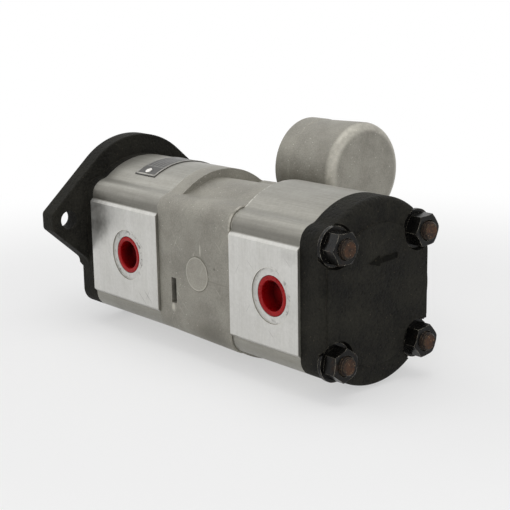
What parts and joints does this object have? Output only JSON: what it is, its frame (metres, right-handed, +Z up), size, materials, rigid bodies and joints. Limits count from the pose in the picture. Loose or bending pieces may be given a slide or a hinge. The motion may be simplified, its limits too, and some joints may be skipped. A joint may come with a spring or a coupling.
{
  "type": "tandem hydraulic gear pump",
  "caption": "Tandem hydraulic gear pump with a two-bolt pilot flange, splined shaft, side pressure ports with transit plugs and a shared suction elbow.",
  "frame": {"origin": "centre of the pilot spigot, on the mounting face", "axes": "+X along the drive shaft from the mounting face to the rear cover, -Y towards the pressure ports, +Z up from the driven gears to the drive shaft"},
  "size_m": [0.2698, 0.1732, 0.1244],
  "materials": {
    "black_cast_iron": "matt black coating over a cast skin",
    "milled_aluminium": "extruded, with milled port pads",
    "cast_aluminium": "as cast, shot blasted",
    "block_aluminium": "fine turned",
    "plate_aluminium": "satin sheet",
    "ground_steel": "hardened and ground",
    "black_oxide_steel": "black oxide",
    "stud_steel": "oiled, brown at the cut ends",
    "bearing_bronze": "sintered bearing layer",
    "seal_rubber": "matt",
    "plug_plastic": "moulded, slightly glossy"
  },
  "bodies": {
    "housing": {"front_cover": "black_cast_iron", "front_body": "milled_aluminium", "centre_housing": "cast_aluminium", "rear_body": "milled_aluminium", "rear_cover": "black_cast_iron", "tie_studs": "stud_steel", "stud_nuts": "black_oxide_steel", "stud_washers": "black_oxide_steel", "front_section_front_block": "block_aluminium", "front_section_rear_block": "block_aluminium", "rear_section_front_block": "block_aluminium", "rear_section_rear_block": "block_aluminium", "front_section_bushes": "bearing_bronze", "rear_section_bushes": "bearing_bronze", "block_seals": "seal_rubber", "section_seals": "seal_rubber", "locating_dowels": "ground_steel", "shaft_seal": "seal_rubber", "seal_circlip": "black_oxide_steel", "suction_elbow": "cast_aluminium", "elbow_o_ring": "seal_rubber", "elbow_screws": "black_oxide_steel", "name_plate": "plate_aluminium", "plate_rivets": "plate_aluminium"},
    "drive_line": {"drive_shaft": "ground_steel", "coupling_sleeve": "ground_steel", "rear_drive_gear": "ground_steel"},
    "front_driven": {"front_driven_gear": "ground_steel"},
    "rear_driven": {"rear_driven_gear": "ground_steel"},
    "front_plug": {"front_port_plug": "plug_plastic"},
    "rear_plug": {"rear_port_plug": "plug_plastic"}
  },
  "joints": [
    {"name": "drive_spin", "type": "hinge", "parent": "housing", "child": "drive_line", "pos_m": [0, 0, 0], "axis": [1, 0, 0], "continuous": true},
    {"name": "front_driven_spin", "type": "hinge", "parent": "housing", "child": "front_driven", "pos_m": [0, 0, -0.0325], "axis": [1, 0, 0], "continuous": true},
    {"name": "rear_driven_spin", "type": "hinge", "parent": "housing", "child": "rear_driven", "pos_m": [0, 0, -0.0325], "axis": [1, 0, 0], "continuous": true},
    {"name": "front_plug_pull", "type": "slide", "parent": "housing", "child": "front_plug", "axis": [0, -1, 0], "range_m": [0, 0.03]},
    {"name": "rear_plug_pull", "type": "slide", "parent": "housing", "child": "rear_plug", "axis": [0, -1, 0], "range_m": [0, 0.03]}
  ],
  "couplings": [
    {"joint": "front_driven_spin", "follows": "drive_spin", "ratio": -1},
    {"joint": "rear_driven_spin", "follows": "drive_spin", "ratio": -1}
  ]
}
